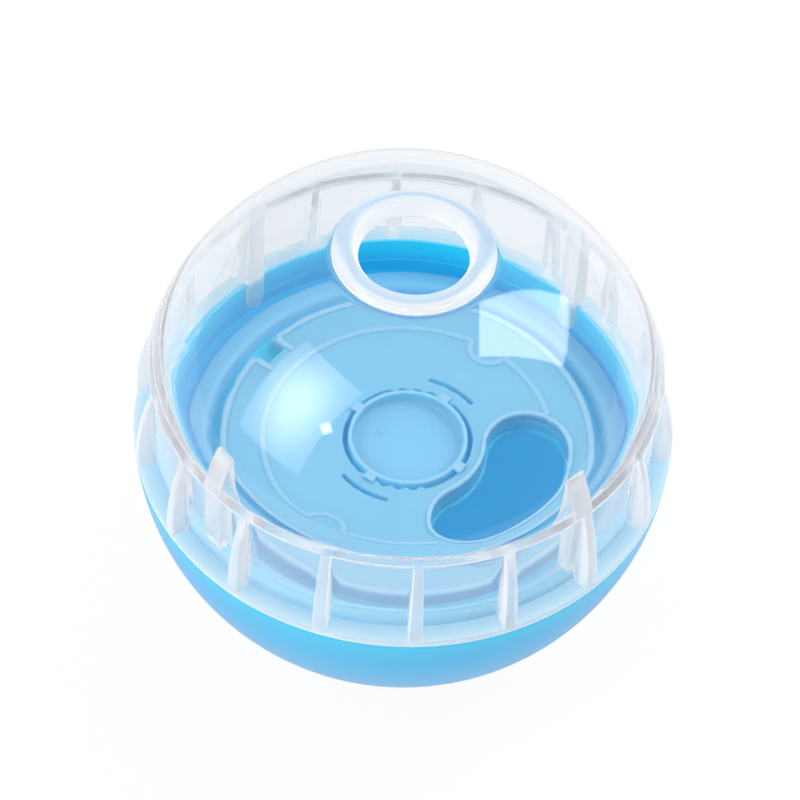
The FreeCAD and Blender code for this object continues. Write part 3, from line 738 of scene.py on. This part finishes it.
# dome
dome = {
    "wall": 1.3, "skirtTop": 18.8, "skirtFoot": 49.8, "skirtWall": 1.25, "footEdge": 0.4, "flange": 1.8,
    "seamGap": 0.15, "edge": 0.22, "corner": 49.15, "cornerRise": 0.4, "ledge": 0.2, "wallFade": 6.5,
    "skirtRows": (0.14, 0.28, 0.42, 0.56, 0.7, 0.84, 0.975),  # shares of the skirt's height inside
    "ribCount": 18, "ribStart": 15.4, "ribTop": 1.9, "ribFoot": 2.7, "ribReach": 52.5, "pocketStep": 0.75,
    "pocketSlope": 0.5, "bandRows": 14, "bandMargin": 2.2, "flangeRows": (0.06, 0.3, 0.6, 0.9),
    "opening": 10.8, "ringWidth": 5.2, "ringFoot": 50.7, "ringCrown": 1.5, "lipDepth": 3.3, "lipSlant": 1.0,
    "shoulder": 38.0, "crownSteps": 22, "sphereSteps": 16, "fadeSteps": 8,
    "legCount": 4, "legStart": 45.0, "legInner": 46.5, "legTongue": 0.9, "legWidth": 4.4, "legFoot": -6.4,
    "legStep": 1.5, "legRow": 2.8, "legRoot": 0.35, "legLean": 0.5, "legThinnest": 0.12, "legEdge": 0.35,
    "legInWall": 0.6, "legNarrowest": 0.25,
    "lugInner": 49.2, "lugTop": -1.95, "lugThickness": 0.9, "lugSpan": 9.0, "lugMiddle": 25.0, "lugRoot": 0.3,
    "milky": {  # how milky the plastic looks, 0 to 1, and where that changes
        "ring": 0.76, "ringFade": 0.8, "ringLow": 45.0, "rib": 1.0, "ribGain": 3, "window": 0.17,
        "pocketEdge": 0.45, "skirt": 0.12, "foot": 0.85, "footHeight": 4.0, "corner": 0.5, "flange": 0.55,
        "rim": 1.0, "leg": 0.45,
        "bandEdge": ((1.95, 0.05), (1.7, 0.3), (0.8, 0.3), (0.0, 0.4)),  # height above the grip band, milkiness
    },
}
milky = dome["milky"]


def crownArc():
    # above the shoulder the dome is a little flatter: an arc that leaves the sphere there and meets the ring's foot
    radius = ball["radius"]
    way = Vector((dome["shoulder"], onCircle(radius, dome["shoulder"]))) / radius
    foot = Vector((dome["opening"] + dome["ringWidth"], dome["ringFoot"]))
    reach = (radius ** 2 - foot.length_squared) / (2 * (radius - foot.dot(way)))
    return way * reach, radius - reach, math.atan2(way.y, way.x)


def crownPoints(inset):
    # points on the crown's arc, from the ring to the shoulder
    steps = dome["crownSteps"]
    middle, radius, end = crownArc()
    radius -= inset
    start = math.acos((dome["opening"] + dome["ringWidth"] - middle.x) / radius)
    return [(middle.x + radius * math.cos(start + (end - start) * k / steps),
             middle.y + radius * math.sin(start + (end - start) * k / steps)) for k in range(steps + 1)]


def ringPoints():
    # from the lip's lower edge up its inside and over the rounded crown to the ring's foot
    opening = dome["opening"]
    top = dome["ringFoot"] + dome["ringCrown"]
    low = top - dome["lipDepth"]
    outer = opening + dome["ringWidth"]
    edge = opening + dome["lipSlant"]
    crown = threePointArc((edge + 0.25, top - 0.12), (edge + 1.6, top), (outer - 0.55, top - 0.78), 12)
    side = threePointArc((outer - 0.55, top - 0.78), (outer - 0.16, top - 1.1), (outer, dome["ringFoot"]), 5)
    inside = [(opening, low + 0.35), (opening + 0.03, low + 1.0), (opening + 0.2, low + 1.7),
              (edge - 0.2, top - 0.85), (edge - 0.05, top - 0.5), (edge + 0.06, top - 0.26)]
    return inside + crown + side[1:]


def plainRow(r, z, milk):
    # a row of the dome without pockets
    return r, r, z, milk, milk


def ringRow(r, z):
    # the ring's rounded crown and its lip are milky, which fades out at the ring's foot
    away = max(0.0, dome["opening"] + dome["ringWidth"] + 0.2 - r)
    return plainRow(r, z, milky["ring"] * min(1.0, away / milky["ringFade"]) if z >= milky["ringLow"] else 0.0)


def domeRows():
    # rows of (r outside a pocket, r in a pocket, z, milkiness outside, milkiness in a pocket) from the ring down the
    # outside and up the inside
    radius = ball["radius"]
    inner = radius - dome["wall"]
    edge = dome["edge"]
    flangeLow = ball["seam"] + dome["seamGap"]
    flangeTop = flangeLow + dome["flange"]
    lipLow = dome["ringFoot"] + dome["ringCrown"] - dome["lipDepth"]
    band = dome["skirtTop"]
    top = onCircle(radius, band)
    side = spherePoints(radius, dome["shoulder"], onCircle(radius, band + dome["bandMargin"]), 1,
                        dome["sphereSteps"])
    rows = [ringRow(r, z) for r, z in ringPoints() + crownPoints(0.0)[1:] + side[1:]]
    rows += [plainRow(onCircle(radius, band + rise), band + rise, milk) for rise, milk in milky["bandEdge"]]
    footFloor = dome["skirtFoot"] + dome["skirtWall"]
    topFloor = top - dome["pocketStep"]
    slope = dome["pocketSlope"]
    for drop, floor in ((0.05, top - edge), (0.12, top - edge - 0.2), (0.22, topFloor + 0.1), (slope, topFloor)):
        z = band - drop  # a pocket's upper edge
        rows.append((onCircle(radius, z), floor, z, milky["rib"], milky["pocketEdge"]))
    for k in range(1, dome["bandRows"] + 1):  # grip band
        share = k / dome["bandRows"]
        z = band - slope + (flangeTop - band + slope) * share
        rows.append((onCircle(radius, z), topFloor + (footFloor - topFloor) * share, z, milky["rib"],
                     milky["window"]))
    outside = onCircle(radius, flangeTop)
    for share in dome["flangeRows"]:  # top of the flange
        milk = milky["flange"] + (milky["rim"] - milky["flange"]) * share ** 2
        rows.append((outside, footFloor + (outside - footFloor) * share, flangeTop, milky["rib"], milk))
    low = onCircle(radius, flangeLow)
    turns = [math.pi / 2 * k / 3 for k in range(4)]
    rim = [(outside - edge + edge * math.sin(a), flangeTop - edge + edge * math.cos(a)) for a in turns]
    rim += [(low - edge + edge * math.cos(a), flangeLow + edge - edge * math.sin(a)) for a in turns]
    rows += [plainRow(r, z, milky["rim"]) for r, z in rim]

    cornerHeight = band + dome["cornerRise"]
    ledgeReach = dome["corner"] + dome["ledge"]
    ledgeHeight = cornerHeight + dome["ledge"] / 2
    inside = roundCorners([(low - 1.0, flangeLow), (dome["skirtFoot"], flangeLow, dome["footEdge"]),
                           (dome["corner"], cornerHeight, 0.1), (ledgeReach, ledgeHeight)])
    inside += [(dome["skirtFoot"] + (dome["corner"] - dome["skirtFoot"]) * share,
                flangeLow + (cornerHeight - flangeLow) * share) for share in dome["skirtRows"]]
    inside = sorted(inside, key=lambda p: (p[1], -p[0]))
    for r, z in inside[:-4]:
        share = min(1.0, max(0.0, (milky["footHeight"] - z) / milky["footHeight"]))
        rows.append(plainRow(r, z, milky["skirt"] + (milky["foot"] - milky["skirt"]) * share))
    rows += [plainRow(r, z, milky["corner"]) for r, z in inside[-4:]]
    extra = radius - math.hypot(ledgeReach, ledgeHeight) - dome["wall"]
    for k in range(1, dome["fadeSteps"] + 1):  # above the grip band the wall thins to its usual thickness
        share = k / dome["fadeSteps"]
        z = ledgeHeight + dome["wallFade"] * share
        rows.append(plainRow(onCircle(inner - extra * (1 - share) ** 2, z), z, 0.0))
    side = spherePoints(inner, rows[-1][0], dome["shoulder"] * inner / radius, 1, dome["sphereSteps"])
    rows += [plainRow(r, z, 0.0) for r, z in side[1:]]
    under = list(reversed(crownPoints(dome["wall"])))[1:]
    under += roundCorners([under[-1], (dome["opening"] + 2.1, lipLow, 0.5), (dome["opening"], lipLow, 0.3),
                           (dome["opening"], lipLow + 0.35)])[1:-1]
    return rows + [ringRow(r, z) for r, z in under]


def domeColumns(z):
    # one pocket's columns: (angle from the rib's middle, how far it stands out of the pocket, 0 to 1)
    share = min(1.0, max(0.0, (dome["skirtTop"] - z) / (dome["skirtTop"] - ball["seam"])))
    half = (dome["ribTop"] + (dome["ribFoot"] - dome["ribTop"]) * share) / 2
    wide = math.degrees(half / dome["ribReach"])
    edge = math.degrees(dome["edge"] / dome["ribReach"])
    pitch = 360.0 / dome["ribCount"]
    columns = [(0.0, 1.0), (wide * 0.5, 1.0), (wide - edge, 1.0), (wide - edge * 0.3, 0.97), (wide, 0.92)]
    columns += [(wide, 0.5), (wide, 0.1), (wide + edge * 0.4, 0.03), (wide + edge * 1.2, 0.0)]
    start = columns[-1][0]
    window = [(start + (pitch - 2 * start) * k / 8, 0.0) for k in range(1, 8)]
    mirrored = [(pitch - a, out) for a, out in reversed(columns[1:])]
    return columns + window + mirrored


def makeDome():
    bm = bmesh.new()
    thick = bm.verts.layers.float.new("thick")
    pitch = 360.0 / dome["ribCount"]
    grid = []
    for outer, floor, z, milkOut, milkIn in domeRows():
        columns = domeColumns(z)
        row = []
        for k in range(dome["ribCount"]):
            for angle, out in columns:
                r = floor + (outer - floor) * out
                a = math.radians(dome["ribStart"] + pitch * k + angle)
                vert = bm.verts.new((r * math.cos(a), r * math.sin(a), z))
                vert[thick] = milkIn + (milkOut - milkIn) * min(1.0, out * milky["ribGain"])
                row.append(vert)
        grid.append(row)
    count = len(grid[0])
    for k, row in enumerate(grid):
        other = grid[(k + 1) % len(grid)]
        for j in range(count):
            n = (j + 1) % count
            bm.faces.new((row[j], row[n], other[n], other[j]))
    bm.verts.ensure_lookup_table()
    shellCount = len(bm.verts)
    for k in range(dome["legCount"]):
        turn = 360.0 / dome["legCount"] * k
        addLeg(bm, dome["legStart"] + turn)
        middle = dome["lugMiddle"] + turn
        addArcBlock(bm, dome["lugInner"], dome["skirtFoot"] + dome["lugRoot"], dome["lugTop"] - dome["lugThickness"],
                    dome["lugTop"], middle - dome["lugSpan"] / 2, middle + dome["lugSpan"] / 2, edge=0.0, steps=8)
    for vert in list(bm.verts)[shellCount:]:
        vert[thick] = milky["leg"]
    piece = finishMesh("domeShell", bm, clearMaterial, "dome", crease=28)
    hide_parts("clear_dome")


def addLeg(bm, angle):
    # a fin from the dome's wall, thin and round-ended where it reaches down past the neck
    inner = ball["radius"] - dome["wall"] * dome["legInWall"]
    legInner, foot, step = dome["legInner"], dome["legFoot"], dome["legStep"]
    half = dome["legWidth"] / 2
    heights = [foot + half * (1 - math.cos(math.pi / 2 * k / 8)) for k in range(9)]
    heights += [-2.0, 0.0, step - 0.01, step]
    heights += [step + dome["legRow"] * k for k in range(1, 10)]
    turn = Matrix.Rotation(math.radians(angle), 3, "Z")
    sections = []
    for z in heights:
        if z < step:
            outer = legInner + dome["legTongue"]
        elif z < dome["skirtTop"]:
            outer = dome["skirtFoot"] + dome["legRoot"] + dome["legLean"] * z / dome["skirtTop"]
        else:
            outer = onCircle(inner, z)
        outer = max(outer, legInner + dome["legThinnest"])
        wide = half
        if z < foot + half:
            wide = max(dome["legNarrowest"], math.sqrt(max(0.0, half ** 2 - (foot + half - z) ** 2)))
        edge = min(dome["legEdge"], wide * 0.45)
        shape = roundCorners([(legInner, -wide, edge), (outer, -wide), (outer, wide), (legInner, wide, edge)], 3)
        sections.append([turn @ Vector((x, y, z)) for x, y in shape])
    addLoft(bm, sections)


makeDome()


# floor, lamps and world
studio = {
    "floorSize": 6.0, "floorGap": 0.0005, "floorColour": (0.85, 0.85, 0.85, 1), "floorRoughness": 0.9,
    "floorGlow": 0.94, "glowColour": (1, 1, 1, 1), "roomColour": (0.97, 0.985, 1.0, 1), "roomStrength": 0.68,
    "sweepStrength": 1.35, "sweepStart": -0.3, "sweepFull": 0.8, "worldShine": 0.35, "lampFade": 0.62,
    "lamps": {
        "rightBox": {"place": (0.582, 0.267, 0.751), "size": (0.67, 0.479), "across": (0.721, 0.162, -0.673),
                     "radiance": 4.2, "edgeShare": 1.0},
        "leftBox": {"place": (-0.64, -0.364, 0.619), "size": (0.56, 0.84), "across": (0.621, -0.783, 0.031),
                    "radiance": 5.8, "edgeShare": 0.2},
        "leftLamp": {"place": (-0.49, -0.592, 0.628), "size": (0.08, 0.08), "across": (0.78, -0.047, 0.623),
                     "radiance": 14.0, "edgeShare": 0.2},
    },
}


def makeLamp(name):
    values = studio["lamps"][name]
    width, height = values["size"]
    data = bpy.data.lights.new(name, "AREA")
    data.shape = "RECTANGLE"
    data.size = width
    data.size_y = height
    data.energy = values["radiance"] * math.pi * width * height
    data.use_nodes = True  # a diffuser is brightest in its middle
    tree = data.node_tree
    spot = addNode(tree, "ShaderNodeNewGeometry").outputs["Parametric"]
    away = distanceTo(tree, spot, (0.5, 0.5, 0.0))
    fade = mapValue(tree, away, 0.0, studio["lampFade"], 1.0, values["edgeShare"], "SMOOTHSTEP")
    tree.links.new(fade, tree.nodes["Emission"].inputs["Strength"])
    lamp = bpy.data.objects.new(name, data)
    bpy.context.scene.collection.objects.link(lamp)
    place = Vector(values["place"])
    back = (place - Vector((0, 0, ballCentre * mm))).normalized()
    across = Vector(values["across"])
    across = (across - back * across.dot(back)).normalized()
    lamp.matrix_world = Matrix.Translation(place) @ Matrix((across, back.cross(across), back)).transposed().to_4x4()


def makeFloor():
    size = studio["floorSize"] / 2
    mesh = bpy.data.meshes.new("studioFloor")
    mesh.from_pydata([(-size, -size, 0), (size, -size, 0), (size, size, 0), (-size, size, 0)], [], [(0, 1, 2, 3)])
    floor = bpy.data.objects.new("studioFloor", mesh)
    floor.location.z = -studio["floorGap"]
    bpy.context.scene.collection.objects.link(floor)
    material = bpy.data.materials.new("paperSweep")
    material.use_nodes = True
    tree = material.node_tree
    shader = tree.nodes["Principled BSDF"]
    shader.inputs["Base Color"].default_value = studio["floorColour"]
    shader.inputs["Roughness"].default_value = studio["floorRoughness"]
    glow = addNode(tree, "ShaderNodeEmission", inputs={"Color": studio["glowColour"]})
    rays = addNode(tree, "ShaderNodeLightPath").outputs
    seen = addMath(tree, "MAXIMUM", rays["Is Camera Ray"], rays["Is Glossy Ray"])
    seen = addMath(tree, "MAXIMUM", seen, rays["Is Transmission Ray"])
    share = addMath(tree, "MULTIPLY", seen, studio["floorGlow"])
    mixed = mixShaders(tree, share, shader.outputs["BSDF"], glow.outputs["Emission"])
    tree.links.new(mixed, tree.nodes["Material Output"].inputs["Surface"])
    mesh.materials.append(material)


def makeWorld():
    world = bpy.data.worlds.new("studioWorld")
    bpy.context.scene.world = world
    world.use_nodes = True
    tree = world.node_tree
    shade = tree.nodes["Background"]
    shade.inputs["Color"].default_value = studio["roomColour"]
    rays = addNode(tree, "ShaderNodeLightPath").outputs
    place = addNode(tree, "ShaderNodeTexCoord").outputs["Generated"]
    depth = addNode(tree, "ShaderNodeSeparateXYZ", inputs={"Vector": place}).outputs["Y"]
    sweep = mapValue(tree, depth, studio["sweepStart"], studio["sweepFull"], studio["roomStrength"],
                     studio["sweepStrength"], "SMOOTHSTEP")  # the paper behind is brighter than the room in front
    shine = mapValue(tree, rays["Is Glossy Ray"], 0.0, 1.0, 1.0, studio["worldShine"])
    tree.links.new(addMath(tree, "MULTIPLY", sweep, shine), shade.inputs["Strength"])
    white = addNode(tree, "ShaderNodeBackground", inputs={"Color": (1, 1, 1, 1), "Strength": 1.0})
    seen = addMath(tree, "MAXIMUM", rays["Is Camera Ray"], rays["Is Transmission Ray"])
    mixed = mixShaders(tree, seen, shade.outputs["Background"], white.outputs["Background"])
    tree.links.new(mixed, tree.nodes["World Output"].inputs["Surface"])
    bpy.context.scene.view_settings.view_transform = "Standard"


for lampName in studio["lamps"]:
    makeLamp(lampName)
makeFloor()
makeWorld()
print("studio lit")
